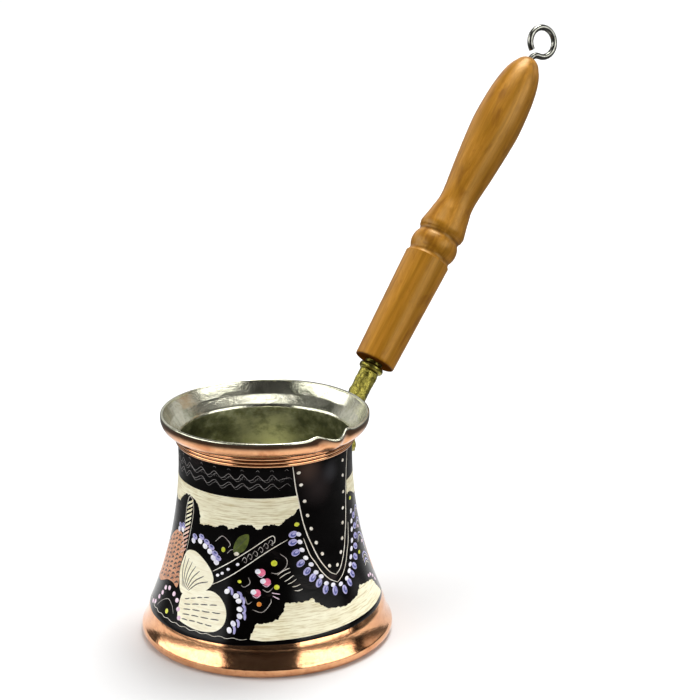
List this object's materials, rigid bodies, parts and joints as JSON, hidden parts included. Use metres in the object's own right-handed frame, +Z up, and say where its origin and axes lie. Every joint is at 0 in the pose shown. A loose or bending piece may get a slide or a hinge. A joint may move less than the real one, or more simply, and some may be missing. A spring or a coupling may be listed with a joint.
{
  "type": "turkish coffee pot",
  "caption": "Hand-spun copper coffee pot with a pouring lip, tinned inside and lacquered outside, on a slanted turned wooden handle that screws off a cast brass bracket.",
  "frame": {"origin": "centre of the flat base, on the surface the pot stands on", "axes": "+Z up along the pot's axis of revolution, +X horizontally towards the handle, -Y towards the pouring lip"},
  "size_m": [0.2167, 0.0988, 0.2225],
  "materials": {
    "copper": "polished copper",
    "tin": "hand-wiped tin",
    "lacquer": "gloss lacquer with engraved and painted flowers",
    "cast_brass": "rough cast brass",
    "rivet_copper": "hammered copper",
    "steel": "plain threaded steel",
    "collar_brass": "turned brass",
    "wood": "clear varnish over turned hardwood",
    "nickel": "nickel-plated wire"
  },
  "bodies": {
    "pot": {"pot_body": "copper", "tin_lining": "tin", "lacquer_coat": "lacquer", "handle_bracket": "cast_brass", "bracket_rivets": "rivet_copper", "handle_stud": "steel"},
    "collar": {"collar": "collar_brass"},
    "handle": {"wooden_handle": "wood", "hanging_eye": "nickel"}
  },
  "joints": [
    {"name": "handle_travel", "type": "slide", "parent": "pot", "child": "collar", "axis": [0.6374, 0, 0.7705], "range_m": [0, 0.0281]},
    {"name": "handle_turn", "type": "hinge", "parent": "collar", "child": "handle", "pos_m": [0.06, 0, 0.09615], "axis": [0.6374, 0, 0.7705], "range_deg": [0, 12600]}
  ],
  "couplings": [
    {"joint": "handle_travel", "follows": "handle_turn", "m_per_rad": 0.00012732}
  ]
}
